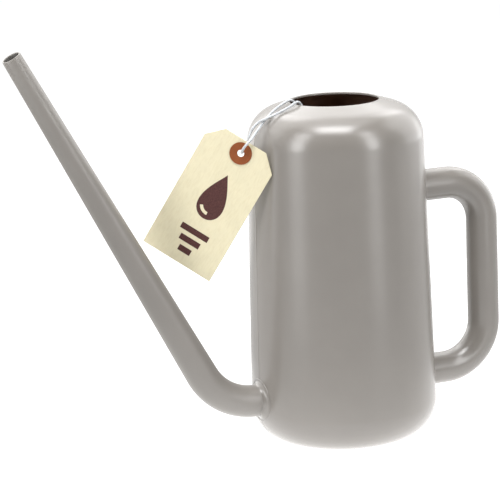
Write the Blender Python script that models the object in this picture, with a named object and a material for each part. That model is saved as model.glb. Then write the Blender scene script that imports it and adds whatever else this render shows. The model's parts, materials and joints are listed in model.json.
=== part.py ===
"""Watering can with a hang tag.

A tall round tank with a domed shoulder and a round filling mouth carries a long bent spout on -X
and a D-shaped tube handle on +X. A card tag hangs on a doubled string that runs over the mouth's rim.
The origin is the middle of the base, on the surface the can stands on. Metres, +Z up.
"""

import math

import bmesh
import bpy
import numpy as np
from mathutils import Matrix, Vector

GAP = 0.0003  # clearance between touching pieces

# Tank: a slightly tapered wall between a rounded foot and a domed shoulder
TANK_HEIGHT = 0.277
FOOT_WALL_RADIUS = 0.0756
SHOULDER_WALL_RADIUS = 0.0710
WALL = 0.0018
FOOT_ROUNDING = 0.0289
SHOULDER_ROUNDING = 0.0290
NECK_SLOPE = math.radians(17.5)  # fall of the cone between the mouth and the shoulder's arc
MOUTH_RADIUS = 0.0359
LIP_CHAMFER = 0.0005
TANK_SIDES = 60
ARC_STEPS = 7  # facets along each rounding of the tank

# Base pan, set into the tank's foot
PAN_RADIUS = 0.0425
PAN_FLANGE = 0.0032
GROOVE_RADIUS = 0.0365
GROOVE_WIDTH = 0.0030
GROOVE_DEPTH = 0.0010
PAN_SIDES = 48

# Spout: centreline in the plane y = 0, from the tip down to a level root
SPOUT_TIP = Vector((-0.2674, 0.0, 0.3353))
SPOUT_CORNER = Vector((-0.1095, 0.0, 0.0381))
SPOUT_BEND = 0.052
SPOUT_RADIUS = 0.0130
SPOUT_WALL = 0.0016
TIP_RADIUS = 0.00775
TIP_WALL = 0.0011
TIP_CUT = math.radians(28.0)  # lean of the tip's cut from level

# Handle: a D in the plane y = 0
HANDLE_RADIUS = 0.0130
HANDLE_WALL = 0.0016
GRIP_X = 0.1309
UPPER_ARM_Z = 0.1977
LOWER_ARM_Z = 0.0418
UPPER_BEND = 0.0330
LOWER_BEND = 0.0370

TUBE_SIDES = 24
SPOUT_BEND_STEPS = 8
HANDLE_BEND_STEPS = 6
TUBE_REACH = 0.0016  # how far each tube's end stands inside the tank wall

# Collars: coved rings round the three roots
COVE = 0.0036  # radius of the cove between a tube and the tank wall
COVE_STEPS = 5
COLLAR_RIM = 0.0006
COLLAR_LIP = 0.0003
COLLAR_SIDES = 36

# Tag: a card with two cut corners, punched near its top
CARD_LEFT = 0.0323  # from the hole's middle to the card's left side
CARD_RIGHT = 0.0298  # and to its right side
CARD_BELOW_HOLE = 0.1037
CARD_ABOVE_HOLE = 0.0107
CARD_CUT = 0.0125
CARD_THICKNESS = 0.0007
HOLE_RADIUS = 0.0029
PATCH_RADIUS = 0.0090
PATCH_THICKNESS = 0.0003
HOLE_CENTRE = Vector((-0.0877, -0.0120, 0.2439))
CARD_TURN = math.radians(34.9)  # the face looks this far from -Y towards -X
CARD_LEAN = math.radians(32.2)  # the card's top leans this far towards +X
HOLE_SIDES = 28

# String: one length, from a pad under the shoulder, over the rim, through the tag and back
STRING_DIAMETER = 0.0022
STRING_SPACING = 0.0031
ROUTE_STEPS = 12  # curve points between two points of the route
RIM_HINGE_X = -0.0405
STRING_PARTING = 0.0005  # gap along the string where it is parted at the rim
STRING_ROUTE = (
    (-0.0431, -0.0085, 0.2706),
    (-0.0428, -0.0084, 0.2679),
    (-0.0407, -0.0083, 0.2652),
    (-0.0375, -0.0081, 0.2642),
    (-0.0335, -0.0076, 0.2660),
    (-0.0317, -0.0073, 0.2697),
    (-0.0317, -0.0074, 0.2743),
    (-0.0336, -0.0079, 0.2778),
    (-0.0368, -0.0089, 0.2790),
    (-0.0422, -0.0104, 0.2768),
    (-0.0487, -0.0110, 0.2743),
    (-0.0560, -0.0114, 0.2717),
    (-0.0636, -0.0104, 0.2690),
    (-0.0698, -0.0079, 0.2660),
    (-0.0742, -0.0069, 0.2618),
    (-0.0769, -0.0068, 0.2576),
    (-0.0793, -0.0077, 0.2534),
    (-0.0817, -0.0090, 0.2493),
    (-0.0839, -0.0102, 0.2461),
    (-0.0862, -0.0118, 0.2447),
    (-0.0882, -0.0150, 0.2451),
    (-0.0883, -0.0178, 0.2477),
    (-0.0866, -0.0196, 0.2510),
    (-0.0833, -0.0200, 0.2540),
    (-0.0790, -0.0175, 0.2569),
    (-0.0738, -0.0136, 0.2603),
    (-0.0686, -0.0099, 0.2636),
    (-0.0606, -0.0053, 0.2690),
    (-0.0535, -0.0019, 0.2732),
    (-0.0466, 0.0010, 0.2759),
    (-0.0415, 0.0030, 0.2777),
    (-0.0368, 0.0044, 0.2788),
    (-0.0337, 0.0050, 0.2776),
    (-0.0318, 0.0052, 0.2740),
    (-0.0318, 0.0054, 0.2697),
    (-0.0336, 0.0057, 0.2660),
    (-0.0376, 0.0061, 0.2642),
    (-0.0407, 0.0063, 0.2652),
    (-0.0428, 0.0066, 0.2679),
    (-0.0431, 0.0068, 0.2706),
)

# Pad under the shoulder that holds both ends of the string
PAD_REACH = 0.0432
PAD_HALF_LENGTH = 0.0125
PAD_HALF_WIDTH = 0.0045
PAD_THICKNESS = 0.0008
PAD_CORNER = 0.0040
PAD_CORNER_STEPS = 5

CAN_GREY = (0.323, 0.292, 0.266)
CARD_CREAM = (0.863, 0.791, 0.558)
PATCH_RUST = (0.223, 0.061, 0.017)
STRING_WHITE = (0.80, 0.82, 0.84)
PAD_WHITE = (0.70, 0.70, 0.68)


def material(name, colour, roughness):
    made = bpy.data.materials.new(name)
    made.use_nodes = True
    shader = made.node_tree.nodes["Principled BSDF"]
    shader.inputs["Base Color"].default_value = (*colour, 1.0)
    shader.inputs["Roughness"].default_value = roughness
    shader.inputs["Metallic"].default_value = 0.0
    return made


def add_object(name, data, finish):
    made = bpy.data.objects.new(name, data)
    bpy.context.scene.collection.objects.link(made)
    data.materials.append(finish)
    return made


def mesh_object(name, bm, finish, sharp_degrees=35):
    bmesh.ops.remove_doubles(bm, verts=bm.verts, dist=1e-6)
    bmesh.ops.recalc_face_normals(bm, faces=bm.faces)
    mesh = bpy.data.meshes.new(name)
    bm.to_mesh(mesh)
    bm.free()
    mesh.shade_smooth()
    mesh.set_sharp_from_angle(angle=math.radians(sharp_degrees))
    return add_object(name, mesh, finish)


def cutter(name, bm):
    """A hidden solid that a Boolean takes away."""
    made = mesh_object(name, bm, bpy.data.materials[0])
    made.hide_render = True
    made.display_type = "WIRE"
    return made


def cut(target, *tools):
    for tool in tools:
        change = target.modifiers.new("cut_" + tool.name, "BOOLEAN")
        change.operation = "DIFFERENCE"
        change.object = tool


def turned(profile, sides):
    """The closed profile of (radius, height) points, turned once round Z."""
    bm = bmesh.new()
    corners = [bm.verts.new((radius, 0.0, height)) for radius, height in profile]
    edges = []
    for first, second in zip(corners, corners[1:] + corners[:1]):
        if first.co.x + second.co.x > 0.0:
            edges.append(bm.edges.new((first, second)))
    bmesh.ops.spin(
        bm,
        geom=corners + edges,
        cent=(0.0, 0.0, 0.0),
        axis=(0.0, 0.0, 1.0),
        angle=math.tau,
        steps=sides,
        use_merge=True,
    )
    return bm


def arc(centre, radius, start, end, steps):
    """Points on an arc in a profile's plane, angles from the outward direction."""
    angles = np.linspace(start, end, steps + 1)
    return [(centre[0] + radius * math.cos(a), centre[1] + radius * math.sin(a)) for a in angles]


def tank_outline(inset):
    """The tank's outline from the foot's flat ring to the mouth, moved in by inset."""
    slope = math.tan(NECK_SLOPE)
    arc_end = SHOULDER_WALL_RADIUS - SHOULDER_ROUNDING * (1.0 - math.sin(NECK_SLOPE))
    arc_end_z = TANK_HEIGHT - (arc_end - MOUTH_RADIUS) * slope
    shoulder = (SHOULDER_WALL_RADIUS - SHOULDER_ROUNDING, arc_end_z - SHOULDER_ROUNDING * math.cos(NECK_SLOPE))
    foot = (FOOT_WALL_RADIUS - FOOT_ROUNDING, FOOT_ROUNDING)
    points = arc(foot, FOOT_ROUNDING - inset, -math.pi / 2, 0.0, ARC_STEPS)
    points += arc(shoulder, SHOULDER_ROUNDING - inset, 0.0, math.pi / 2 - NECK_SLOPE, ARC_STEPS)
    return points, TANK_HEIGHT - inset / math.cos(NECK_SLOPE)


def wall_radius(height):
    """The tank's outer radius on its straight wall."""
    outline = tank_outline(0.0)[0]
    low = outline[ARC_STEPS]
    high = outline[ARC_STEPS + 1]
    share = (height - low[1]) / (high[1] - low[1])
    return low[0] + (high[0] - low[0]) * share


def make_tank(finish):
    outer, outer_mouth = tank_outline(0.0)
    inner, inner_mouth = tank_outline(WALL)
    opening = PAN_RADIUS + GAP
    lip = [
        (MOUTH_RADIUS + LIP_CHAMFER, outer_mouth - LIP_CHAMFER * math.tan(NECK_SLOPE)),
        (MOUTH_RADIUS, outer_mouth - LIP_CHAMFER),
        (MOUTH_RADIUS, inner_mouth),
    ]
    profile = [(opening, 0.0), *outer, *lip, *reversed(inner), (opening, WALL)]
    tank = mesh_object("reservoir_shell", turned(profile, TANK_SIDES), finish)
    spout_hole = bore_cutter("spout_hole", -1, SPOUT_CORNER.z, SPOUT_RADIUS + GAP)
    upper_hole = bore_cutter("upper_handle_hole", 1, UPPER_ARM_Z, HANDLE_RADIUS + GAP)
    lower_hole = bore_cutter("lower_handle_hole", 1, LOWER_ARM_Z, HANDLE_RADIUS + GAP)
    cut(tank, spout_hole, upper_hole, lower_hole)
    return tank


def bore_cutter(name, side, height, radius):
    """A round bar along X through one side of the tank's wall."""
    bm = bmesh.new()
    length = FOOT_WALL_RADIUS / 2
    bmesh.ops.create_cone(
        bm, cap_ends=True, segments=TUBE_SIDES, radius1=radius, radius2=radius, depth=length
    )
    bmesh.ops.rotate(bm, verts=bm.verts, matrix=Matrix.Rotation(math.pi / 2, 3, "Y"))
    bmesh.ops.translate(bm, verts=bm.verts, vec=(side * wall_radius(height), 0.0, height))
    return cutter(name, bm)


def make_base_pan(finish):
    flange_z = WALL + GAP
    top_z = flange_z + WALL
    flange = PAN_RADIUS + PAN_FLANGE
    groove_in = GROOVE_RADIUS
    groove_out = GROOVE_RADIUS + GROOVE_WIDTH
    profile = [
        (0.0, 0.0),
        (groove_in, 0.0),
        (groove_in + GROOVE_DEPTH / 2, GROOVE_DEPTH),
        (groove_out - GROOVE_DEPTH / 2, GROOVE_DEPTH),
        (groove_out, 0.0),
        (PAN_RADIUS, 0.0),
        (PAN_RADIUS, flange_z),
        (flange, flange_z),
        (flange, top_z),
        (0.0, top_z),
    ]
    return mesh_object("base_pan", turned(profile, PAN_SIDES), finish)


def rounded_route(corners, bends, steps):
    """A route in the plane y = 0 through corners, each inner one rounded to its bend radius."""
    points = [corners[0]]
    for before, corner, after, radius in zip(corners, corners[1:], corners[2:], bends):
        arriving = (corner - before).normalized()
        leaving = (after - corner).normalized()
        turn = arriving.angle(leaving)
        inward = (leaving - arriving * arriving.dot(leaving)).normalized()
        start = corner - arriving * radius * math.tan(turn / 2)
        centre = start + inward * radius
        for angle in np.linspace(0.0, turn, steps + 1):
            points.append(centre + radius * (arriving * math.sin(angle) - inward * math.cos(angle)))
    points.append(corners[-1])
    return points


def hollow_tube(route, outer_radii, inner_radii, first_cut=None):
    """A hollow tube along a route in the plane y = 0, open at both ends.
    first_cut is the normal of the plane that ends it at the route's first point."""
    bm = bmesh.new()
    across = Vector((0.0, 1.0, 0.0))
    rings = []
    for index, centre in enumerate(route):
        before = route[max(index - 1, 0)]
        after = route[min(index + 1, len(route) - 1)]
        along = (after - before).normalized()
        up = along.cross(across)
        pair = []
        for radius in (outer_radii[index], inner_radii[index]):
            ring = []
            for side in range(TUBE_SIDES):
                angle = math.tau * side / TUBE_SIDES
                offset = (up * math.cos(angle) + across * math.sin(angle)) * radius
                if first_cut is not None and index == 0:
                    offset -= along * offset.dot(first_cut) / along.dot(first_cut)
                ring.append(bm.verts.new(centre + offset))
            pair.append(ring)
        rings.append(pair)
    for (outer_a, inner_a), (outer_b, inner_b) in zip(rings, rings[1:]):
        join_rings(bm, outer_a, outer_b)
        join_rings(bm, inner_b, inner_a)
    join_rings(bm, rings[0][1], rings[0][0])
    join_rings(bm, rings[-1][0], rings[-1][1])
    return bm


def join_rings(bm, first, second):
    count = len(first)
    for i in range(count):
        j = (i + 1) % count
        bm.faces.new((first[i], first[j], second[j], second[i]))


def make_spout(finish):
    inner_wall = wall_radius(SPOUT_CORNER.z) - WALL
    root = Vector((TUBE_REACH - inner_wall + SPOUT_RADIUS**2 / (2 * inner_wall), 0.0, SPOUT_CORNER.z))
    route = rounded_route([SPOUT_TIP, SPOUT_CORNER, root], [SPOUT_BEND], SPOUT_BEND_STEPS)
    taper_length = (route[1] - route[0]).length
    shares = [min((point - route[0]).length / taper_length, 1.0) for point in route]
    outer = [TIP_RADIUS + (SPOUT_RADIUS - TIP_RADIUS) * share for share in shares]
    walls = [TIP_WALL + (SPOUT_WALL - TIP_WALL) * share for share in shares]
    inner = [radius - wall for radius, wall in zip(outer, walls)]
    tip_normal = Vector((-math.sin(TIP_CUT), 0.0, math.cos(TIP_CUT)))
    return mesh_object("spout_tube", hollow_tube(route, outer, inner, tip_normal), finish)


def make_handle(finish):
    ends = []
    for height in (UPPER_ARM_Z, LOWER_ARM_Z):
        inner_wall = wall_radius(height) - WALL
        ends.append(Vector((inner_wall - HANDLE_RADIUS**2 / (2 * inner_wall) - TUBE_REACH, 0.0, height)))
    corners = [ends[0], Vector((GRIP_X, 0.0, UPPER_ARM_Z)), Vector((GRIP_X, 0.0, LOWER_ARM_Z)), ends[1]]
    route = rounded_route(corners, [UPPER_BEND, LOWER_BEND], HANDLE_BEND_STEPS)
    count = len(route)
    outer = [HANDLE_RADIUS] * count
    inner = [HANDLE_RADIUS - HANDLE_WALL] * count
    return mesh_object("handle_tube", hollow_tube(route, outer, inner), finish)


def make_collar(name, side, height, tube_radius, tank_solid, finish):
    """A coved ring round one root: turned round the tube's axis and cut to the tank's curve."""
    inner = tube_radius + GAP
    rim = inner + COLLAR_LIP + COVE
    behind = -rim
    cove = arc((rim, COLLAR_RIM + COVE), COVE, -math.pi / 2, -math.pi, COVE_STEPS)
    profile = [(inner, behind), (rim, behind), *cove, (inner, COLLAR_RIM + COVE)]
    bm = turned(profile, COLLAR_SIDES)
    bmesh.ops.rotate(bm, verts=bm.verts, matrix=Matrix.Rotation(side * math.pi / 2, 3, "Y"))
    bmesh.ops.translate(bm, verts=bm.verts, vec=(side * (wall_radius(height) + GAP), 0.0, height))
    collar = mesh_object(name, bm, finish)
    cut(collar, tank_solid)
    return collar


def make_tank_solid():
    """The tank's outside as a solid, a gap larger, that trims the collars."""
    outer, mouth = tank_outline(-GAP)
    profile = [(0.0, outer[0][1]), *outer, (MOUTH_RADIUS, mouth), (0.0, mouth)]
    return cutter("tank_solid", turned(profile, TANK_SIDES))


def card_frame():
    """From the card's own plane (X across, Y up, Z out of its face) to the world."""
    face = Vector((-math.sin(CARD_TURN), -math.cos(CARD_TURN), 0.0))
    level = Vector((0.0, 0.0, 1.0)).cross(face)
    up = level * math.sin(CARD_LEAN) + Vector((0.0, 0.0, 1.0)) * math.cos(CARD_LEAN)
    across = up.cross(face)
    frame = Matrix((across, up, face)).transposed().to_4x4()
    return Matrix.Translation(HOLE_CENTRE) @ frame


def punched_plate(outline, low, thickness):
    """A flat plate with the tag's hole through it, its lower face at height low."""
    bm = bmesh.new()
    hole = [
        (HOLE_RADIUS * math.cos(math.tau * i / HOLE_SIDES), HOLE_RADIUS * math.sin(math.tau * i / HOLE_SIDES))
        for i in range(HOLE_SIDES)
    ]
    loops = []
    for points in (outline, hole):
        corners = [bm.verts.new((x, y, low)) for x, y in points]
        loops += [bm.edges.new(pair) for pair in zip(corners, corners[1:] + corners[:1])]
    bmesh.ops.triangle_fill(bm, edges=loops, use_beauty=True)
    raised = bmesh.ops.extrude_face_region(bm, geom=list(bm.faces))["geom"]
    lifted = [item for item in raised if isinstance(item, bmesh.types.BMVert)]
    bmesh.ops.translate(bm, verts=lifted, vec=(0.0, 0.0, thickness))
    return bm


def make_tag(card_finish, patch_finish):
    """The card and its two patches, with their origins on the hole's axis."""
    cut_y = CARD_ABOVE_HOLE - CARD_CUT
    right = [(CARD_RIGHT, -CARD_BELOW_HOLE), (CARD_RIGHT, cut_y), (CARD_RIGHT - CARD_CUT, CARD_ABOVE_HOLE)]
    left = [(CARD_CUT - CARD_LEFT, CARD_ABOVE_HOLE), (-CARD_LEFT, cut_y), (-CARD_LEFT, -CARD_BELOW_HOLE)]
    outline = right + left
    angles = [math.tau * i / HOLE_SIDES for i in range(HOLE_SIDES)]
    disc = [(PATCH_RADIUS * math.cos(a), PATCH_RADIUS * math.sin(a)) for a in angles]
    half = CARD_THICKNESS / 2
    frame = card_frame()
    card = mesh_object("tag_card", punched_plate(outline, -half, CARD_THICKNESS), card_finish)
    front = mesh_object("front_patch", punched_plate(disc, half + GAP, PATCH_THICKNESS), patch_finish)
    rear_low = -half - GAP - PATCH_THICKNESS
    rear = mesh_object("rear_patch", punched_plate(disc, rear_low, PATCH_THICKNESS), patch_finish)
    for piece in (card, front, rear):
        piece.matrix_world = frame


def smooth_route(points, steps):
    """A smooth curve through the points: a Catmull-Rom spline."""
    ends = [2 * points[0] - points[1]], [2 * points[-1] - points[-2]]
    route = np.array([*ends[0], *points, *ends[1]])
    made = []
    for a, b, c, d in zip(route, route[1:], route[2:], route[3:]):
        for share in np.arange(steps) / steps:
            slope_in = (c - a) / 2
            slope_out = (d - b) / 2
            cubic = 2 * b - 2 * c + slope_in + slope_out
            square = 3 * c - 3 * b - 2 * slope_in - slope_out
            made.append(b + slope_in * share + square * share**2 + cubic * share**3)
    made.append(route[-2])
    return np.array(made)


def stretch(route, distances, start, end):
    """Evenly spaced points on the route between two distances along it."""
    count = max(2, round((end - start) / STRING_SPACING) + 1)
    wanted = np.linspace(start, end, count)
    return np.stack([np.interp(wanted, distances, route[:, axis]) for axis in range(3)], axis=1)


def string_tube(name, points, finish, origin):
    curve = bpy.data.curves.new(name, "CURVE")
    curve.dimensions = "3D"
    curve.bevel_depth = STRING_DIAMETER / 2
    curve.bevel_resolution = 2
    curve.use_fill_caps = True
    spline = curve.splines.new("POLY")
    spline.points.add(len(points) - 1)
    for target, point in zip(spline.points, points):
        target.co = (*(Vector(point) - origin), 1.0)
    made = add_object(name, curve, finish)
    made.location = origin
    return made


def make_string(finish):
    """The string in three stretches, parted where it bends over the mouth's rim."""
    route = smooth_route(np.array(STRING_ROUTE), ROUTE_STEPS)
    lengths = np.linalg.norm(np.diff(route, axis=0), axis=1)
    distances = np.concatenate([[0.0], np.cumsum(lengths)])
    top = route[:, 2].argmax()
    beyond = distances[(route[:, 0] < RIM_HINGE_X) & (route[:, 2] > TANK_HEIGHT - STRING_SPACING)]
    parting = STRING_PARTING / 2
    crest = Vector((RIM_HINGE_X, 0.0, route[top, 2] + STRING_DIAMETER / 2))
    outer = stretch(route, distances, beyond[0] + parting, beyond[-1] - parting)
    front = stretch(route, distances, 0.0, beyond[0] - parting)
    rear = stretch(route, distances, beyond[-1] + parting, distances[-1])
    string_tube("string_outer", outer, finish, crest)
    string_tube("string_inner_front", front, finish, crest)
    string_tube("string_inner_rear", rear, finish, crest)


def make_pad(finish):
    """A flat pad under the neck cone that holds the string's two ends."""
    bm = bmesh.new()
    bmesh.ops.create_cube(bm, size=1.0)
    size = (2 * PAD_HALF_WIDTH, 2 * PAD_HALF_LENGTH, PAD_THICKNESS)
    bmesh.ops.scale(bm, verts=bm.verts, vec=size)
    upright = [edge for edge in bm.edges if abs(edge.verts[0].co.z - edge.verts[1].co.z) > PAD_THICKNESS / 2]
    bmesh.ops.bevel(bm, geom=upright, offset=PAD_CORNER, segments=PAD_CORNER_STEPS, affect="EDGES")
    pad = mesh_object("string_pad", bm, finish)
    surface = TANK_HEIGHT - (PAD_REACH - MOUTH_RADIUS) * math.tan(NECK_SLOPE)
    depth = (WALL + GAP + PAD_THICKNESS / 2) / math.cos(NECK_SLOPE) + GAP
    pad.location = (-PAD_REACH, 0.0, surface - depth)
    pad.rotation_euler = (0.0, -NECK_SLOPE, 0.0)


def main():
    for old in list(bpy.data.objects):
        bpy.data.objects.remove(old, do_unlink=True)
    shell = material("can_plastic", CAN_GREY, 0.38)
    card = material("card", CARD_CREAM, 0.75)
    patch = material("patch_paper", PATCH_RUST, 0.8)
    string = material("string", STRING_WHITE, 0.45)
    pad = material("pad", PAD_WHITE, 0.8)
    make_tank(shell)
    make_base_pan(shell)
    make_spout(shell)
    make_handle(shell)
    tank_solid = make_tank_solid()
    make_collar("spout_collar", -1, SPOUT_CORNER.z, SPOUT_RADIUS, tank_solid, shell)
    make_collar("upper_handle_collar", 1, UPPER_ARM_Z, HANDLE_RADIUS, tank_solid, shell)
    make_collar("lower_handle_collar", 1, LOWER_ARM_Z, HANDLE_RADIUS, tank_solid, shell)
    make_tag(card, patch)
    make_string(string)
    make_pad(pad)
    bpy.context.view_layer.update()


main()
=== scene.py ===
"""Watering can with a hang tag: the visual model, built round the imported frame.

Metres, +Z up, in the frame's own axes: the spout is on -X, the handle on +X, the base at z = 0.
"""

import json
import math

import bmesh
import bpy
import numpy as np
from mathutils import Matrix, Vector


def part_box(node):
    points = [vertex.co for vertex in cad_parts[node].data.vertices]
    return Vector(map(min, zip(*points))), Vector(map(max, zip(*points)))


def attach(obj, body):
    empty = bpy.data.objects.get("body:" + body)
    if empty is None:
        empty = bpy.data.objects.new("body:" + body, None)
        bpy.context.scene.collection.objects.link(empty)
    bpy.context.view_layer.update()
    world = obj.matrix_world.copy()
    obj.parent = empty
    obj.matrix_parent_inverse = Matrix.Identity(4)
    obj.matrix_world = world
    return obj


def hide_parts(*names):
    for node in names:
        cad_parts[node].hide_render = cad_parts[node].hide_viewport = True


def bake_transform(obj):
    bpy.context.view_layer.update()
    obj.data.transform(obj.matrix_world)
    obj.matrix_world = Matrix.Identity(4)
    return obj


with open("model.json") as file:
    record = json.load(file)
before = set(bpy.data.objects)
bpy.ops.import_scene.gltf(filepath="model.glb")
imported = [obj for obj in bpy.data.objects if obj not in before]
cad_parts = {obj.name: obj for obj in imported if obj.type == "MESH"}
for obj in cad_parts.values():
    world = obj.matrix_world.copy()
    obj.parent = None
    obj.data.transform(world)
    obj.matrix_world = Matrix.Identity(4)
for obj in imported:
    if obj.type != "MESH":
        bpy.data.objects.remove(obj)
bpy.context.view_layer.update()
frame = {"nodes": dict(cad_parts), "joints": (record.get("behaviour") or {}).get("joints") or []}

# ---- Sizes read from the frame -------------------------------------------------------------------
_, TANK_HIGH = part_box("reservoir_shell")
HANDLE_LOW, HANDLE_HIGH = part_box("handle_tube")
SPOUT_LOW, SPOUT_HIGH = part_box("spout_tube")
_, PAN_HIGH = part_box("base_pan")
JOINTS = {joint["name"]: joint for joint in frame["joints"]}

TANK_HEIGHT = TANK_HIGH.z
FOOT_WALL_RADIUS = TANK_HIGH.y
HANDLE_RADIUS = HANDLE_HIGH.y
GRIP_INSET = 0.00005  # keeps the grip just inside its box
GRIP_X = HANDLE_HIGH.x - HANDLE_RADIUS - GRIP_INSET
UPPER_ARM_Z = HANDLE_HIGH.z - HANDLE_RADIUS
LOWER_ARM_Z = HANDLE_LOW.z + HANDLE_RADIUS
SPOUT_RADIUS = SPOUT_HIGH.y
SPOUT_ROOT_Z = SPOUT_LOW.z + SPOUT_RADIUS
HOLE_CENTRE = Vector(JOINTS["tag_turn"]["pos_m"])

# ---- Sizes the frame's boxes do not give ---------------------------------------------------------
GAP = 0.0003  # clearance between touching pieces
SHOULDER_WALL_RADIUS = 0.0710
WALL = 0.0018
FOOT_ROUNDING = 0.0289
SHOULDER_ROUNDING = 0.0290
NECK_SLOPE = math.radians(17.5)
MOUTH_RADIUS = 0.0359
PAN_RADIUS = 0.0425
SPOUT_TIP = Vector((-0.2674, 0.0, 0.3353))
SPOUT_CORNER = Vector((-0.1095, 0.0, SPOUT_ROOT_Z))  # where the spout's two straight axes meet
SPOUT_BEND = 0.052
SPOUT_WALL = 0.0016
TIP_RADIUS = 0.00775
TIP_WALL = 0.0013
TIP_CUT = math.radians(28.0)
HANDLE_WALL = 0.0016
UPPER_BEND = 0.0330
LOWER_BEND = 0.0370
TUBE_REACH = 0.0016  # how far the tubes go in past the wall's inner face
COVE = 0.0036  # radius of the coves at the roots
CARD_LEFT = 0.0323
CARD_RIGHT = 0.0298
CARD_BELOW_HOLE = 0.1037
CARD_ABOVE_HOLE = 0.0107
CARD_CUT = 0.0125
CARD_THICKNESS = 0.0007
HOLE_RADIUS = 0.0029
PATCH_RADIUS = 0.0090
PATCH_THICKNESS = 0.0003
CARD_TURN = math.radians(34.9)
CARD_LEAN = math.radians(32.2)
STRING_DIAMETER = 0.0022

# The string's route, from its front end on the pad to its rear end
STRING_ROUTE = (
    (-0.0431, -0.0085, 0.2706),
    (-0.0428, -0.0084, 0.2679),
    (-0.0407, -0.0083, 0.2652),
    (-0.0375, -0.0081, 0.2642),
    (-0.0335, -0.0076, 0.2660),
    (-0.0317, -0.0073, 0.2697),
    (-0.0317, -0.0074, 0.2743),
    (-0.0336, -0.0079, 0.2778),
    (-0.0368, -0.0089, 0.2790),
    (-0.0422, -0.0104, 0.2768),
    (-0.0487, -0.0110, 0.2743),
    (-0.0560, -0.0114, 0.2717),
    (-0.0636, -0.0104, 0.2690),
    (-0.0698, -0.0079, 0.2660),
    (-0.0742, -0.0069, 0.2618),
    (-0.0769, -0.0068, 0.2576),
    (-0.0793, -0.0077, 0.2534),
    (-0.0817, -0.0090, 0.2493),
    (-0.0839, -0.0102, 0.2461),
    (-0.0862, -0.0118, 0.2447),
    (-0.0882, -0.0150, 0.2451),
    (-0.0883, -0.0178, 0.2477),
    (-0.0866, -0.0196, 0.2510),
    (-0.0833, -0.0200, 0.2540),
    (-0.0790, -0.0175, 0.2569),
    (-0.0738, -0.0136, 0.2603),
    (-0.0686, -0.0099, 0.2636),
    (-0.0606, -0.0053, 0.2690),
    (-0.0535, -0.0019, 0.2732),
    (-0.0466, 0.0010, 0.2759),
    (-0.0415, 0.0030, 0.2777),
    (-0.0368, 0.0044, 0.2788),
    (-0.0337, 0.0050, 0.2776),
    (-0.0318, 0.0052, 0.2740),
    (-0.0318, 0.0054, 0.2697),
    (-0.0336, 0.0057, 0.2660),
    (-0.0376, 0.0061, 0.2642),
    (-0.0407, 0.0063, 0.2652),
    (-0.0428, 0.0066, 0.2679),
    (-0.0431, 0.0068, 0.2706),
)

# ---- Fineness and small details ------------------------------------------------------------------
TANK_SIDES = 224
TUBE_SIDES = 80
PAN_SIDES = 128
ROOT_SIDES = 144
SEAM_HEIGHT = 0.00016  # the parting line stands this far proud of the tank
SEAM_HALF_WIDTH = 0.00035
MOUTH_LIP = 0.0007
SOFT_EDGE = 0.0004  # rounding of the foot's inner edge and of the pan's edges
PAN_GROOVE = (0.0365, 0.0395)  # inner and outer radius of the ring groove under the pan
PAN_GROOVE_DEPTH = 0.0010
PAN_GROOVE_STEPS = 12
ROOT_BEAD = 0.00042  # radius of the fine bead at a root's outer edge
ROOT_BEAD_PLACE = 0.8  # how far out the bead's middle is, in bead radii
ROOT_BEAD_STRETCH = 1.15
ROOT_RIM = 0.0002
ROOT_SUNK = 0.0005  # how far a root reaches into the tube and the wall, so that no slit shows
ROOT_COVE_START = math.radians(7.0)
ROOT_BEAD_START = math.radians(28.0)

# The marks printed on the card, in the card's own plane: a water drop over three level bars
DROP_STEPS = 72
DROP_HALF_WIDTH = 0.0150
DROP_HALF_HEIGHT = 0.0205
DROP_Y = -0.0410
DROP_TAPER = 1.3
GLINT_CENTRE = (0.0002, -0.0493)  # of the two arcs round the unprinted glint in the drop
GLINT_RADII = (0.0086, 0.0060)
GLINT_START, GLINT_SWEEP = 205, 70  # degrees
GLINT_STEPS = 27
BAR_WIDTHS = (0.011, 0.018, 0.025)
BAR_HEIGHT = 0.0050
BAR_SPACING = 0.0085
LOWEST_BAR_Y = -0.0945
PRINT_LIFT = 0.00001
PRINT_THICKNESS = 0.00003
HOLE_SIDES = 64
PATCH_SIDES = 96
CARD_EDGE = 0.00012
PATCH_EDGE = 0.0001

# The string's three plies
STRING_STEPS = 16  # curve points between two points of the route
STRING_SPACING = 0.00035
STRING_SIDES = 24
PLIES = 3
PLY_PITCH = 0.0066
PLY_DEPTH = 0.28  # depth of the valleys between plies, as a share of the radius
PLY_ROUNDNESS = 0.7


# ---- Mesh helpers --------------------------------------------------------------------------------
def add_mesh(name, points, faces, materials, sharp_degrees=40.0, face_slots=None):
    mesh = bpy.data.meshes.new(name)
    mesh.from_pydata([tuple(p) for p in points], [], faces)
    for finish in materials:
        mesh.materials.append(finish)
    if face_slots is not None:
        mesh.polygons.foreach_set("material_index", face_slots)
    bm = bmesh.new()
    bm.from_mesh(mesh)
    bmesh.ops.recalc_face_normals(bm, faces=bm.faces)
    bm.to_mesh(mesh)
    bm.free()
    mesh.shade_smooth()
    mesh.set_sharp_from_angle(angle=math.radians(sharp_degrees))
    made = bpy.data.objects.new(name, mesh)
    bpy.context.scene.collection.objects.link(made)
    return made


def grid_faces(rows, columns, close_rows=False):
    """Quads between rows of points, each row a closed ring of columns points."""
    faces = []
    last = rows if close_rows else rows - 1
    for row in range(last):
        here = row * columns
        there = (row + 1) % rows * columns
        for i in range(columns):
            j = (i + 1) % columns
            faces.append((here + i, here + j, there + j, there + i))
    return faces


def arc(centre, radius, start, end, steps):
    angles = np.linspace(start, end, steps + 1)
    return [(centre[0] + radius * math.cos(a), centre[1] + radius * math.sin(a)) for a in angles]


def line(start, end, spacing):
    """Points between start and end, without either, about spacing apart."""
    steps = max(1, round(math.dist(start, end) / spacing))
    shares = np.arange(1, steps) / steps
    return [(start[0] + (end[0] - start[0]) * s, start[1] + (end[1] - start[1]) * s) for s in shares]


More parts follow.
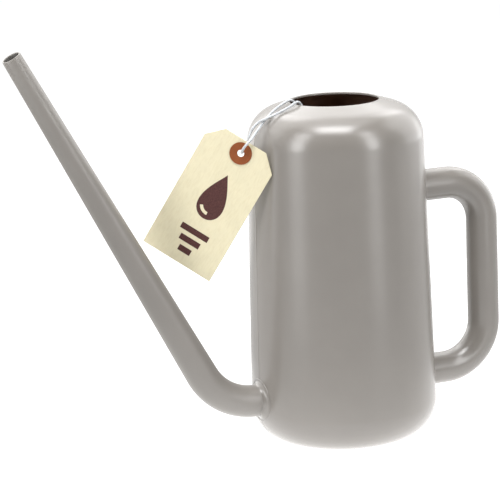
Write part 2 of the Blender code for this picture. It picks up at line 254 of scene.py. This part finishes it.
def seam_angles(sides, radius):
    """Angles round a ring with extra ones close to 0 and pi, in the parting line's plane."""
    half = SEAM_HALF_WIDTH / radius
    extra = [side + share * half for side in (0.0, math.pi) for share in (-1.0, -0.5, 0.0, 0.5, 1.0)]
    regular = [math.tau * i / sides for i in range(sides)]
    kept = [a for a in regular if abs(math.remainder(a, math.pi)) > 1.5 * half]
    return np.array(sorted(a % math.tau for a in kept + extra))


def seam_rise(angles, radius):
    """How far the parting line stands out at each angle."""
    away = np.abs([math.remainder(a, math.pi) for a in angles]) * radius / SEAM_HALF_WIDTH
    return SEAM_HEIGHT * np.clip(1.0 - away, 0.0, 1.0)


# ---- Tank ----------------------------------------------------------------------------------------
def tank_outline(inset, steps, spacing):
    """The tank's outline from the foot's flat ring to the neck cone's foot, moved in by inset."""
    slope = math.tan(NECK_SLOPE)
    arc_end = SHOULDER_WALL_RADIUS - SHOULDER_ROUNDING * (1.0 - math.sin(NECK_SLOPE))
    arc_end_z = TANK_HEIGHT - (arc_end - MOUTH_RADIUS) * slope
    shoulder_z = arc_end_z - SHOULDER_ROUNDING * math.cos(NECK_SLOPE)
    shoulder = (SHOULDER_WALL_RADIUS - SHOULDER_ROUNDING, shoulder_z)
    foot = (FOOT_WALL_RADIUS - FOOT_ROUNDING, FOOT_ROUNDING)
    low = arc(foot, FOOT_ROUNDING - inset, -math.pi / 2, 0.0, steps)
    high = arc(shoulder, SHOULDER_ROUNDING - inset, 0.0, math.pi / 2 - NECK_SLOPE, steps)
    return low + line(low[-1], high[0], spacing) + high


def wall_radius(height):
    """The tank's outer radius at a height on the foot's rounding or the straight wall."""
    if height < FOOT_ROUNDING:
        drop = FOOT_ROUNDING - height
        return FOOT_WALL_RADIUS - FOOT_ROUNDING + math.sqrt(FOOT_ROUNDING**2 - drop**2)
    outline = tank_outline(0.0, 1, 1.0)
    low, high = outline[1], outline[2]
    return low[0] + (high[0] - low[0]) * (height - low[1]) / (high[1] - low[1])


def make_tank(outside, inside):
    slope = math.tan(NECK_SLOPE)
    outer = tank_outline(0.0, 22, 0.003)
    inner = tank_outline(WALL, 16, 0.006)
    lip = MOUTH_LIP
    mouth_outer = (MOUTH_RADIUS + lip, TANK_HEIGHT - lip * slope)
    lip_centre = (MOUTH_RADIUS + lip, mouth_outer[1] - lip)
    rounding = arc(lip_centre, lip, math.pi / 2 - NECK_SLOPE / 2, math.pi, 6)
    mouth_inner = (MOUTH_RADIUS, TANK_HEIGHT - WALL / math.cos(NECK_SLOPE))
    opening = PAN_RADIUS + GAP
    profile = [(opening + SOFT_EDGE, 0.0), *line((opening, 0.0), outer[0], 0.001), *outer]
    profile += line(outer[-1], mouth_outer, 0.0025)
    profile += rounding
    shown = len(profile)
    profile += [mouth_inner, *line(mouth_inner, inner[-1], 0.004), *reversed(inner)]
    profile += [(opening, WALL), (opening, SOFT_EDGE)]
    angles = seam_angles(TANK_SIDES, FOOT_WALL_RADIUS)
    rise = seam_rise(angles, FOOT_WALL_RADIUS)
    points = []
    for index, (radius, height) in enumerate(profile):
        on_wall = index < shown and FOOT_ROUNDING / 3 < height < TANK_HEIGHT - 2 * lip
        radii = radius + rise * on_wall
        points += [(r * math.cos(a), r * math.sin(a), height) for r, a in zip(radii, angles)]
    faces = grid_faces(len(profile), len(angles), close_rows=True)
    # Faces from the mouth's lip inwards take the second finish, the inside's painted shade.
    slots = [0 if i // len(angles) < shown else 1 for i in range(len(faces))]
    tank = add_mesh("tank", points, faces, [outside, inside], face_slots=slots)
    # The bore cuts below take the inside finish too, so their faces carry the same painted shade.
    holes = (
        (-1, SPOUT_ROOT_Z, SPOUT_RADIUS),
        (1, UPPER_ARM_Z, HANDLE_RADIUS),
        (1, LOWER_ARM_Z, HANDLE_RADIUS),
    )
    for side, height, radius in holes:
        cut_bore(tank, side, height, radius + GAP, inside)
    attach(tank, "can")
    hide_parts("reservoir_shell")


def cut_bore(target, side, height, radius, finish):
    """Cuts a round hole along X through one side of the tank's wall."""
    bm = bmesh.new()
    bmesh.ops.create_cone(
        bm, cap_ends=True, segments=TUBE_SIDES, radius1=radius, radius2=radius, depth=FOOT_WALL_RADIUS / 2
    )
    mesh = bpy.data.meshes.new("bore")
    bm.to_mesh(mesh)
    bm.free()
    mesh.materials.append(finish)
    bore = bpy.data.objects.new("bore", mesh)
    bpy.context.scene.collection.objects.link(bore)
    bore.rotation_euler = (0.0, math.pi / 2, 0.0)
    bore.location = (side * wall_radius(height), 0.0, height)
    change = target.modifiers.new("bore", "BOOLEAN")
    change.operation = "DIFFERENCE"
    change.object = bore
    bpy.context.view_layer.update()
    evaluated = target.evaluated_get(bpy.context.evaluated_depsgraph_get())
    made = bpy.data.meshes.new_from_object(evaluated)
    target.modifiers.clear()
    target.data = made
    bpy.data.objects.remove(bore, do_unlink=True)


def make_base(finish):
    top = PAN_HIGH.z
    flange = PAN_HIGH.x
    edge = SOFT_EDGE
    groove_start, groove_end = PAN_GROOVE
    profile = [(0.0, 0.0), *line((0.0, 0.0), (groove_start, 0.0), 0.004), (groove_start - edge, 0.0)]
    for step in range(1, PAN_GROOVE_STEPS):
        share = step / PAN_GROOVE_STEPS
        radius = groove_start - edge + (groove_end - groove_start + 2 * edge) * share
        profile.append((radius, PAN_GROOVE_DEPTH * math.sin(math.pi * share) ** 2))
    profile += [(groove_end + edge, 0.0), (PAN_RADIUS - edge, 0.0)]
    profile += arc((PAN_RADIUS - edge, edge), edge, -math.pi / 2, 0.0, 4)[1:]
    profile += [(PAN_RADIUS, WALL + GAP), (flange, WALL + GAP)]
    profile += [(flange, top - edge), (flange - edge, top), (0.0, top)]
    sides = PAN_SIDES
    points = [(0.0, 0.0, 0.0)]
    for radius, height in profile[1:-1]:
        for i in range(sides):
            angle = math.tau * i / sides
            points.append((radius * math.cos(angle), radius * math.sin(angle), height))
    points.append((0.0, 0.0, top))
    rings = len(profile) - 2
    faces = [tuple(1 + k for k in face) for face in grid_faces(rings, sides)]
    last = 1 + (rings - 1) * sides
    faces += [(0, 1 + (i + 1) % sides, 1 + i) for i in range(sides)]
    faces += [(len(points) - 1, last + i, last + (i + 1) % sides) for i in range(sides)]
    base = add_mesh("base", points, faces, [finish])
    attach(base, "can")
    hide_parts("base_pan")


# ---- Tubes ---------------------------------------------------------------------------------------
def rounded_route(corners, bends, spacing):
    """Points about spacing apart along corners in the plane y = 0, each inner corner rounded."""
    stations = [corners[0]]
    for before, corner, after, radius in zip(corners, corners[1:], corners[2:], bends):
        arriving = (corner - before).normalized()
        leaving = (after - corner).normalized()
        turn = arriving.angle(leaving)
        inward = (leaving - arriving * arriving.dot(leaving)).normalized()
        start = corner - arriving * radius * math.tan(turn / 2)
        centre = start + inward * radius
        begin = stations[-1]
        count = max(1, round((start - begin).length / spacing))
        stations += [begin.lerp(start, k / count) for k in range(1, count)]
        steps = max(4, round(radius * turn / (spacing * 0.6)))
        for angle in np.linspace(0.0, turn, steps + 1):
            stations.append(centre + radius * (arriving * math.sin(angle) - inward * math.cos(angle)))
    begin = stations[-1]
    count = max(1, round((corners[-1] - begin).length / spacing))
    stations += [begin.lerp(corners[-1], k / count) for k in range(1, count + 1)]
    return stations


def tube_rings(route, angles, radii, cut=None):
    """One ring of points for each place on the route. cut is the first ring's plane."""
    across = Vector((0.0, 1.0, 0.0))
    rings = []
    for index, centre in enumerate(route):
        before = route[max(index - 1, 0)]
        after = route[min(index + 1, len(route) - 1)]
        along = (after - before).normalized()
        up = along.cross(across)
        ring = []
        for angle in angles:
            offset = (up * math.cos(angle) + across * math.sin(angle)) * radii[index]
            if cut is not None:
                fade = math.exp(-(centre - route[0]).length / TIP_RADIUS)
                flat = offset - along * offset.dot(cut) / along.dot(cut)
                offset = offset.lerp(flat, fade)
            ring.append(centre + offset)
        rings.append(ring)
    return rings


def tube_mesh(name, route, outer, inner, finishes, lip, cut=None):
    """A hollow tube with a rounded lip at its first end and a plain one at its last."""
    angles = seam_angles(TUBE_SIDES, float(np.mean(outer)))
    along = (route[1] - route[0]).normalized()
    wall = outer[0] - inner[0]
    lip_rings = []
    for share in (1.0, 0.75, 0.5, 0.25, 0.0) if lip else ():
        turn = math.pi * share
        radius_here = inner[0] + wall / 2 * (1.0 - math.cos(turn))
        drop = wall / 2 * (1.0 - math.sin(turn))
        ring = tube_rings(route[:2], angles, [radius_here] * 2, cut)[0]
        lip_rings.append([point + along * drop for point in ring])
    start = 1 if lip else 0
    outside = tube_rings(route, angles, outer, cut)[start:]
    inside = tube_rings(route, angles, inner, cut)[start:]
    loops = [*reversed(outside), *lip_rings, *inside]
    points = [point for ring in loops for point in ring]
    faces = grid_faces(len(loops), len(angles), close_rows=True)
    shown = (len(outside) + len(lip_rings) - 1) * len(angles)
    slots = [0 if i < shown else 1 for i in range(len(faces))]
    return add_mesh(name, points, faces, finishes, face_slots=slots)


def make_spout(outside, inside):
    inner_wall = wall_radius(SPOUT_ROOT_Z) - WALL
    root = Vector((TUBE_REACH - inner_wall + SPOUT_RADIUS**2 / (2 * inner_wall), 0.0, SPOUT_ROOT_Z))
    route = rounded_route([SPOUT_TIP, SPOUT_CORNER, root], [SPOUT_BEND], 0.004)
    bend_start = SPOUT_CORNER + (SPOUT_TIP - SPOUT_CORNER).normalized() * SPOUT_BEND * math.tan(
        (SPOUT_CORNER - SPOUT_TIP).angle(root - SPOUT_CORNER) / 2
    )
    taper = (bend_start - SPOUT_TIP).length
    shares = [min((point - SPOUT_TIP).length / taper, 1.0) for point in route]
    outer = [TIP_RADIUS + (SPOUT_RADIUS - TIP_RADIUS) * share for share in shares]
    inner = [radius - TIP_WALL - (SPOUT_WALL - TIP_WALL) * share for radius, share in zip(outer, shares)]
    cut = Vector((-math.sin(TIP_CUT), 0.0, math.cos(TIP_CUT)))
    spout = tube_mesh("spout", route, outer, inner, [outside, inside], True, cut)
    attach(spout, "can")
    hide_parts("spout_tube")


def make_handle(outside, inside):
    ends = []
    for height in (UPPER_ARM_Z, LOWER_ARM_Z):
        inner_wall = wall_radius(height) - WALL
        ends.append(Vector((inner_wall - HANDLE_RADIUS**2 / (2 * inner_wall) - TUBE_REACH, 0.0, height)))
    corners = [ends[0], Vector((GRIP_X, 0.0, UPPER_ARM_Z)), Vector((GRIP_X, 0.0, LOWER_ARM_Z)), ends[1]]
    route = rounded_route(corners, [UPPER_BEND, LOWER_BEND], 0.003)
    outer = [HANDLE_RADIUS] * len(route)
    inner = [HANDLE_RADIUS - HANDLE_WALL] * len(route)
    handle = tube_mesh("handle", route, outer, inner, [outside, inside], False)
    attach(handle, "can")
    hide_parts("handle_tube")


def make_root(name, side, height, tube_radius, finish, node):
    """The coved root of a tube, laid on the tank's round wall, with a fine bead at its outer edge."""
    bead, sunk = ROOT_BEAD, ROOT_SUNK
    profile = [(tube_radius - sunk, ROOT_RIM + COVE)]
    profile += [
        (tube_radius + COVE * (1.0 - math.cos(a)), ROOT_RIM + COVE * (1.0 - math.sin(a)))
        for a in np.linspace(ROOT_COVE_START, math.pi / 2, 14)
    ]
    bead_centre = tube_radius + COVE + bead * ROOT_BEAD_PLACE
    profile += [
        (bead_centre - bead * math.cos(a), bead * math.sin(a) * ROOT_BEAD_STRETCH)
        for a in np.linspace(ROOT_BEAD_START, math.pi, 10)
    ]
    profile += [(bead_centre, -sunk), (tube_radius - sunk, -sunk)]
    sides = ROOT_SIDES
    points = []
    for radius, lift in profile:
        for i in range(sides):
            angle = math.tau * i / sides
            y = radius * math.cos(angle)
            z = height + radius * math.sin(angle)
            x = math.sqrt(wall_radius(z) ** 2 - y**2) + lift
            points.append((side * x, y, z))
    made = add_mesh(name, points, grid_faces(len(profile), sides, close_rows=True), [finish])
    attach(made, "can")
    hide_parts(node)


# ---- Tag -----------------------------------------------------------------------------------------
def card_frame():
    """From the card's own plane (X across, Y up, Z out of its face) to the world."""
    face = Vector((-math.sin(CARD_TURN), -math.cos(CARD_TURN), 0.0))
    level = Vector((0.0, 0.0, 1.0)).cross(face)
    up = level * math.sin(CARD_LEAN) + Vector((0.0, 0.0, 1.0)) * math.cos(CARD_LEAN)
    across = up.cross(face)
    return Matrix.Translation(HOLE_CENTRE) @ Matrix((across, up, face)).transposed().to_4x4()


def plate(name, loops, low, thickness, finish, edge):
    """A flat plate in the card's frame. loops are its outline and the outlines of its holes."""
    bm = bmesh.new()
    edges = []
    for loop in loops:
        corners = [bm.verts.new((x, y, low)) for x, y in loop]
        edges += [bm.edges.new(pair) for pair in zip(corners, corners[1:] + corners[:1])]
    bmesh.ops.triangle_fill(bm, edges=edges, use_beauty=True)
    raised = bmesh.ops.extrude_face_region(bm, geom=list(bm.faces))["geom"]
    lifted = [item for item in raised if isinstance(item, bmesh.types.BMVert)]
    bmesh.ops.translate(bm, verts=lifted, vec=(0.0, 0.0, thickness))
    bmesh.ops.recalc_face_normals(bm, faces=bm.faces)
    if edge > 0.0:
        rims = [
            e
            for e in bm.edges
            if len(e.link_faces) == 2
            and e.calc_face_angle(0.0) > math.radians(60)
            and abs(e.verts[0].co.z - e.verts[1].co.z) < thickness / 2
        ]
        bmesh.ops.bevel(bm, geom=rims, offset=edge, segments=2, affect="EDGES", clamp_overlap=True)
    mesh = bpy.data.meshes.new(name)
    bm.to_mesh(mesh)
    bm.free()
    mesh.materials.append(finish)
    mesh.shade_smooth()
    mesh.set_sharp_from_angle(angle=math.radians(35.0))
    made = bpy.data.objects.new(name, mesh)
    bpy.context.scene.collection.objects.link(made)
    made.matrix_world = card_frame()
    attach(made, "tag")
    return made


def circle(radius, sides):
    angles = [math.tau * i / sides for i in range(sides)]
    return [(radius * math.cos(a), radius * math.sin(a)) for a in angles]


def make_tag(card, patch, ink):
    foot, top = -CARD_BELOW_HOLE, CARD_ABOVE_HOLE
    cut_y = top - CARD_CUT
    outline = [(CARD_RIGHT, foot), (CARD_RIGHT, cut_y), (CARD_RIGHT - CARD_CUT, top)]
    outline += [(CARD_CUT - CARD_LEFT, top), (-CARD_LEFT, cut_y), (-CARD_LEFT, foot)]
    half = CARD_THICKNESS / 2
    hole = circle(HOLE_RADIUS, HOLE_SIDES)
    ring_loops = [circle(PATCH_RADIUS, PATCH_SIDES), hole]
    ring_thickness = PATCH_THICKNESS + GAP  # it closes the gap to the card
    sheet = plate("tag_sheet", [outline, hole], -half, CARD_THICKNESS, card, CARD_EDGE)
    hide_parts("tag_card")
    front = plate("tag_front_ring", ring_loops, half, ring_thickness, patch, PATCH_EDGE)
    rear = plate("tag_rear_ring", ring_loops, -half - ring_thickness, ring_thickness, patch, PATCH_EDGE)
    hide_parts("front_patch")
    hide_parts("rear_patch")
    print_marks(half, ink)


def print_marks(surface, ink):
    """A water drop over a row of level bars, printed on the card's face."""
    drop = []
    for i in range(DROP_STEPS):
        turn = math.tau * i / DROP_STEPS
        x = DROP_HALF_WIDTH * math.sin(turn) * math.sin(turn / 2) ** DROP_TAPER
        drop.append((x, DROP_Y + DROP_HALF_HEIGHT * math.cos(turn)))
    shares = [i / GLINT_STEPS for i in range(GLINT_STEPS + 1)]
    glint = []
    for radius, order in zip(GLINT_RADII, (shares, [1 - share for share in shares])):
        for share in order:
            angle = math.radians(GLINT_START + GLINT_SWEEP * share)
            x = GLINT_CENTRE[0] + radius * math.cos(angle)
            glint.append((x, GLINT_CENTRE[1] + radius * math.sin(angle)))
    low = surface + PRINT_LIFT
    mark = plate("tag_print_drop", [drop, glint], low, PRINT_THICKNESS, ink, 0.0)
    for index, width in enumerate(BAR_WIDTHS):
        left, right = -width / 2, width / 2
        foot = LOWEST_BAR_Y + BAR_SPACING * index
        top = foot + BAR_HEIGHT
        bar = [(left, foot), (right, foot), (right, top), (left, top)]
        mark = plate(f"tag_print_bar_{index + 1}", [bar], low, PRINT_THICKNESS, ink, 0.0)


# ---- String --------------------------------------------------------------------------------------
def smooth_route(points, steps):
    """A smooth curve through the points: a Catmull-Rom spline."""
    route = np.array([2 * points[0] - points[1], *points, 2 * points[-1] - points[-2]])
    made = []
    for a, b, c, d in zip(route, route[1:], route[2:], route[3:]):
        for share in np.arange(steps) / steps:
            slope_in = (c - a) / 2
            slope_out = (d - b) / 2
            cubic = 2 * b - 2 * c + slope_in + slope_out
            square = 3 * c - 3 * b - 2 * slope_in - slope_out
            made.append(b + slope_in * share + square * share**2 + cubic * share**3)
    made.append(route[-2])
    return np.array(made)


def evenly(route, spacing):
    """The route again with points about spacing apart, and its length."""
    lengths = np.concatenate([[0.0], np.cumsum(np.linalg.norm(np.diff(route, axis=0), axis=1))])
    wanted = np.linspace(0.0, lengths[-1], round(lengths[-1] / spacing) + 1)
    spaced = [np.interp(wanted, lengths, route[:, axis]) for axis in range(3)]
    return np.stack(spaced, axis=1), lengths[-1]


def make_string(finish):
    """One twisted string of three plies, along its whole route."""
    path, length = evenly(smooth_route(np.array(STRING_ROUTE), STRING_STEPS), STRING_SPACING)
    sides = STRING_SIDES
    radius = STRING_DIAMETER / 2
    tangents = np.gradient(path, axis=0)
    tangents /= np.linalg.norm(tangents, axis=1)[:, None]
    normal = np.cross(tangents[0], (0.0, 1.0, 0.0))
    points = []
    for index, (centre, tangent) in enumerate(zip(path, tangents)):
        normal = normal - tangent * normal.dot(tangent)
        normal /= np.linalg.norm(normal)
        side = np.cross(tangent, normal)
        along = length * index / (len(path) - 1)
        for k in range(sides):
            angle = math.tau * k / sides
            lobe = abs(math.cos(PLIES / 2 * (angle - math.tau * along / PLY_PITCH)))
            reach = radius * (1.0 - PLY_DEPTH + PLY_DEPTH * lobe**PLY_ROUNDNESS)
            points.append(centre + reach * (normal * math.cos(angle) + side * math.sin(angle)))
    faces = grid_faces(len(path), sides)
    faces += [tuple(range(sides)), tuple(range((len(path) - 1) * sides, len(path) * sides))]
    string = add_mesh("tag_string", points, faces, [finish], sharp_degrees=75.0)
    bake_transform(string)
    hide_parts("string_outer", "string_inner_front", "string_inner_rear")


# ---- Materials -----------------------------------------------------------------------------------
class Nodes:
    """A material's node tree, with short calls for the nodes used here."""

    def __init__(self, name):
        self.material = bpy.data.materials.new(name)
        self.material.use_nodes = True
        self.tree = self.material.node_tree
        self.shader = self.tree.nodes["Principled BSDF"]

    def add(self, kind, **values):
        node = self.tree.nodes.new(kind)
        for key, value in values.items():
            if hasattr(node, key):
                setattr(node, key, value)
            else:
                node.inputs[key.replace("_", " ")].default_value = value
        return node

    def link(self, source, target):
        self.tree.links.new(source, target)

    def noise(self, scale, detail=3.0, stretch=(1.0, 1.0, 1.0)):
        place = self.add("ShaderNodeTexCoord")
        mapping = self.add("ShaderNodeMapping")
        mapping.inputs["Scale"].default_value = stretch
        self.link(place.outputs["Object"], mapping.inputs["Vector"])
        noise = self.add("ShaderNodeTexNoise", Scale=scale, Detail=detail)
        self.link(mapping.outputs["Vector"], noise.inputs["Vector"])
        return noise.outputs["Fac"]

    def ramp(self, value, stops):
        ramp = self.add("ShaderNodeValToRGB")
        elements = ramp.color_ramp.elements
        while len(elements) < len(stops):
            elements.new(0.5)
        for element, (place, colour) in zip(elements, stops):
            element.position = place
            element.color = (*colour, 1.0)
        self.link(value, ramp.inputs["Fac"])
        return ramp.outputs["Color"]

    def span(self, value, low, high):
        span = self.add("ShaderNodeMapRange")
        span.inputs["To Min"].default_value = low
        span.inputs["To Max"].default_value = high
        self.link(value, span.inputs["Value"])
        return span.outputs["Result"]

    def bump(self, height, distance):
        bump = self.add("ShaderNodeBump", Distance=distance, Strength=1.0)
        self.link(height, bump.inputs["Height"])
        self.link(bump.outputs["Normal"], self.shader.inputs["Normal"])

    def colour(self, value, stops):
        """The surface's colour, from a ramp over the value."""
        self.link(self.ramp(value, stops), self.shader.inputs["Base Color"])

    def gloss(self, roughness, specular=None, sheen=None):
        self.shader.inputs["Roughness"].default_value = roughness
        if specular is not None:
            self.shader.inputs["Specular IOR Level"].default_value = specular
        if sheen is not None:
            self.shader.inputs["Sheen Weight"].default_value = sheen


def shade(colour, factor):
    return tuple(c * factor for c in colour)


# Base colours. Noise scales below are in cells per metre, and bump distances in metres.
CAN_GREY = (0.189, 0.175, 0.159)
# The tank's inside: painted shade. A dark warm brown stands in for the shade and the warm bounce light
# inside the same grey plastic.
CAN_INSIDE_PAINTED_SHADE = (0.28, 0.175, 0.13)
CARD_CREAM = (0.625, 0.574, 0.406)
PATCH_RUST = (0.223, 0.061, 0.017)
INK = (0.060, 0.022, 0.020)
STRING_WHITE = (0.50, 0.52, 0.54)
PAD_GREY = (0.70, 0.70, 0.68)

CAN_GLOSS = 0.26
SPOUT_GLOSS = 0.39
INSIDE_GLOSS = 0.55
BORE_GLOSS = 0.5
BORE_PAINTED_SHADE = 0.45  # painted shade: the bores' grey as a share of the outside's, darkened for the shade inside the tubes


def can_plastic(name, colour, roughness):
    """Moulded plastic: a faint orange peel and a faint mottle."""
    made = Nodes(name)
    made.colour(made.noise(24.0, 4.0), [(0.3, shade(colour, 0.97)), (0.7, shade(colour, 1.03))])
    made.bump(made.noise(260.0, 2.0), 0.00003)
    made.gloss(roughness, specular=0.72)
    return made.material


def paper(name, colour, spread, roughness):
    """Pressed paper: short fibres in its colour and its surface."""
    made = Nodes(name)
    cloud = made.noise(90.0, 5.0)
    fibres = made.noise(900.0, 4.0, (1.0, 0.22, 1.0))
    dark, light = shade(colour, 1.0 - spread), shade(colour, 1.0 + spread / 2)
    cloudy = made.ramp(cloud, [(0.3, dark), (0.7, light)])
    flecks = made.ramp(fibres, [(0.25, (0.90, 0.87, 0.82)), (0.55, (1.0, 1.0, 1.0))])
    mix = made.add("ShaderNodeMix", data_type="RGBA", blend_type="MULTIPLY")
    mix.inputs["Factor"].default_value = 0.6
    made.link(cloudy, mix.inputs[6])
    made.link(flecks, mix.inputs[7])
    made.link(mix.outputs[2], made.shader.inputs["Base Color"])
    made.bump(fibres, 0.00005)
    made.gloss(roughness, specular=0.3)
    return made.material


def ink_finish():
    """Printed ink that lets the paper's grain through."""
    made = Nodes("ink")
    made.colour(made.noise(1500.0, 3.0), [(0.35, shade(INK, 0.8)), (0.75, shade(INK, 1.6))])
    made.gloss(0.7, specular=0.25)
    return made.material


def string_finish():
    """Glossy twisted fibre."""
    made = Nodes("string_fibre")
    strands = made.noise(2200.0, 3.0)
    made.colour(strands, [(0.3, shade(STRING_WHITE, 0.72)), (0.65, STRING_WHITE)])
    made.bump(strands, 0.00006)
    made.gloss(0.36, sheen=0.25)
    return made.material


def felt(name, colour):
    """Pressed felt: matted fibres in its colour and its surface."""
    made = Nodes(name)
    fibres = made.noise(1400.0, 5.0, (1.0, 0.4, 1.0))
    made.colour(fibres, [(0.3, shade(colour, 0.7)), (0.7, shade(colour, 1.1))])
    made.bump(fibres, 0.00015)
    made.gloss(0.95, sheen=0.3)
    return made.material


def dress_pad(finish):
    """string_pad keeps the frame's own mesh."""
    pad = frame["nodes"]["string_pad"]
    pad.data.materials.clear()
    pad.data.materials.append(finish)


# ---- Stage ---------------------------------------------------------------------------------------
CAMERA_DISTANCE = 2.0
CAMERA_AZIMUTH = math.radians(-24.933)
CAMERA_HEIGHT = 0.59577
CAMERA_AIM = Vector((-0.0654, 0.0304, 0.15542))
CAMERA_ROLL = math.radians(2.3815)
CAMERA_LENS = 181.88


def make_camera():
    data = bpy.data.cameras.new("camera")
    data.lens = CAMERA_LENS
    data.sensor_width = 36.0
    camera = bpy.data.objects.new("camera", data)
    bpy.context.scene.collection.objects.link(camera)
    place = Vector(
        (
            CAMERA_DISTANCE * math.sin(CAMERA_AZIMUTH),
            -CAMERA_DISTANCE * math.cos(CAMERA_AZIMUTH),
            CAMERA_HEIGHT,
        )
    )
    ahead = (CAMERA_AIM - place).normalized()
    right = ahead.cross(Vector((0.0, 0.0, 1.0))).normalized()
    up = right.cross(ahead)
    rolled_right = right * math.cos(CAMERA_ROLL) - up * math.sin(CAMERA_ROLL)
    rolled_up = right * math.sin(CAMERA_ROLL) + up * math.cos(CAMERA_ROLL)
    turn = Matrix((rolled_right, rolled_up, -ahead)).transposed().to_4x4()
    camera.matrix_world = Matrix.Translation(place) @ turn
    data.clip_start = 0.05
    data.clip_end = 50.0
    bpy.context.scene.camera = camera


def soft_light(name, azimuth, elevation, distance, size, radiance):
    """A rectangular light that faces the can. Azimuth 0 is the camera's side."""
    data = bpy.data.lights.new(name, "AREA")
    data.shape = "RECTANGLE"
    data.size, data.size_y = size
    data.energy = radiance * math.pi * size[0] * size[1]
    light = bpy.data.objects.new(name, data)
    bpy.context.scene.collection.objects.link(light)
    turn = CAMERA_AZIMUTH + math.radians(azimuth)
    rise = math.radians(elevation)
    aim = Vector((0.0, 0.0, TANK_HEIGHT / 2))
    away = Vector((math.sin(turn) * math.cos(rise), -math.cos(turn) * math.cos(rise), math.sin(rise)))
    light.location = aim + away * distance
    light.visible_camera = False
    light.rotation_mode = "QUATERNION"
    light.rotation_quaternion = away.to_track_quat("Z", "Y")


SURROUND = 0.0  # light from all round
BACKGROUND = 1.0  # how bright the backdrop looks
FLOOR_REACH = 12.0
FLOOR_ALBEDO = 0.20
FLOOR_ROUGHNESS = 0.9
GLOW_RADIUS = 0.32  # the floor glows most strongly within this radius
FLOOR_GLOW = 0.40
FLOOR_GLOW_NEAR = 2.4
FLOOR_SEEN = 1.0  # how bright the floor looks

# Each light's azimuth and elevation in degrees, distance, width and height, and radiance
LIGHTS = {
    "front_top": (-2.0, 68.0, 1.4, (0.80, 0.48), 11.5),
    "overhead": (-14.0, 86.0, 1.4, (1.30, 1.20), 2.0),
    "left_strip": (-49.0, 27.0, 1.0, (0.26, 0.94), 6.8),
    "left_low": (-50.0, 9.0, 0.62, (0.20, 0.50), 1.5),
    "right_strip": (48.0, 27.0, 1.0, (0.23, 0.94), 6.6),
    "right_low": (47.0, 9.0, 0.62, (0.18, 0.50), 1.4),
    "left_side": (-90.0, 14.0, 1.1, (0.30, 1.20), 1.8),
    "right_side": (90.0, 14.0, 1.1, (0.30, 1.20), 0.6),
    "back_top": (180.0, 50.0, 1.8, (1.80, 1.20), 2.9),
    "back_low": (180.0, 28.0, 1.8, (1.80, 0.70), 1.1),
    "back_near": (180.0, 5.0, 0.62, (1.30, 0.46), 0.9),
    "back_left": (-128.0, 28.0, 1.6, (1.50, 2.40), 2.2),
    "back_right": (125.0, 20.0, 1.6, (1.50, 2.00), 2.4),
}


def make_backdrop():
    world = bpy.data.worlds.new("studio")
    bpy.context.scene.world = world
    world.use_nodes = True
    tree = world.node_tree
    surround = tree.nodes["Background"]
    surround.inputs["Color"].default_value = (1.0, 1.0, 1.0, 1.0)
    path = tree.nodes.new("ShaderNodeLightPath")
    strength = tree.nodes.new("ShaderNodeMapRange")
    strength.inputs["To Min"].default_value = SURROUND
    strength.inputs["To Max"].default_value = BACKGROUND
    tree.links.new(path.outputs["Is Camera Ray"], strength.inputs["Value"])
    tree.links.new(strength.outputs["Result"], surround.inputs["Strength"])


def floor_finish():
    """A pale floor that glows round the can, and looks evenly white."""
    made = Nodes("floor")
    made.shader.inputs["Base Color"].default_value = (FLOOR_ALBEDO, FLOOR_ALBEDO, FLOOR_ALBEDO, 1.0)
    made.shader.inputs["Emission Color"].default_value = (1.0, 1.0, 1.0, 1.0)
    made.gloss(FLOOR_ROUGHNESS)
    place = made.add("ShaderNodeTexCoord")
    size = made.add("ShaderNodeMapping")
    size.inputs["Scale"].default_value = (1.0 / GLOW_RADIUS, 1.0 / GLOW_RADIUS, 1.0)
    glow = made.add("ShaderNodeTexGradient", gradient_type="SPHERICAL")
    made.link(place.outputs["Object"], size.inputs["Vector"])
    made.link(size.outputs["Vector"], glow.inputs["Vector"])
    path = made.add("ShaderNodeLightPath")
    seen = made.add("ShaderNodeMix", data_type="FLOAT")
    seen.inputs["B"].default_value = FLOOR_SEEN
    made.link(path.outputs["Is Camera Ray"], seen.inputs["Factor"])
    made.link(made.span(glow.outputs["Fac"], FLOOR_GLOW, FLOOR_GLOW_NEAR), seen.inputs["A"])
    made.link(seen.outputs["Result"], made.shader.inputs["Emission Strength"])
    return made.material


def make_stage():
    make_backdrop()
    reach = FLOOR_REACH
    corners = [(-reach, -reach, 0.0), (reach, -reach, 0.0), (reach, reach, 0.0), (-reach, reach, 0.0)]
    floor = add_mesh("floor", corners, [(0, 1, 2, 3)], [floor_finish()])
    for name, placing in LIGHTS.items():
        soft_light(name, *placing)
    bpy.context.scene.view_settings.view_transform = "Standard"


make_camera()
grey = can_plastic("can_grey", CAN_GREY, CAN_GLOSS)
# The tank's inside finish: its dark brown colour is painted shade.
dark = can_plastic("can_inside_painted_shade", CAN_INSIDE_PAINTED_SHADE, INSIDE_GLOSS)
spout_grey = can_plastic("spout_grey", CAN_GREY, SPOUT_GLOSS)
# The bores' grey is a darker copy of the can's grey: painted shade.
bore_painted_shade = can_plastic("bore_painted_shade", shade(CAN_GREY, BORE_PAINTED_SHADE), BORE_GLOSS)
cream = paper("card_stock", CARD_CREAM, 0.04, 0.75)
rust = paper("patch_stock", PATCH_RUST, 0.12, 0.8)
ink = ink_finish()
make_string(string_finish())
make_tank(grey, dark)
make_base(grey)
make_spout(spout_grey, bore_painted_shade)
make_handle(grey, bore_painted_shade)
make_root("spout_root", -1, SPOUT_ROOT_Z, SPOUT_RADIUS, grey, "spout_collar")
make_root("handle_upper_root", 1, UPPER_ARM_Z, HANDLE_RADIUS, grey, "upper_handle_collar")
make_root("handle_lower_root", 1, LOWER_ARM_Z, HANDLE_RADIUS, grey, "lower_handle_collar")
make_tag(cream, rust, ink)
dress_pad(felt("pad_felt", PAD_GREY))
make_stage()
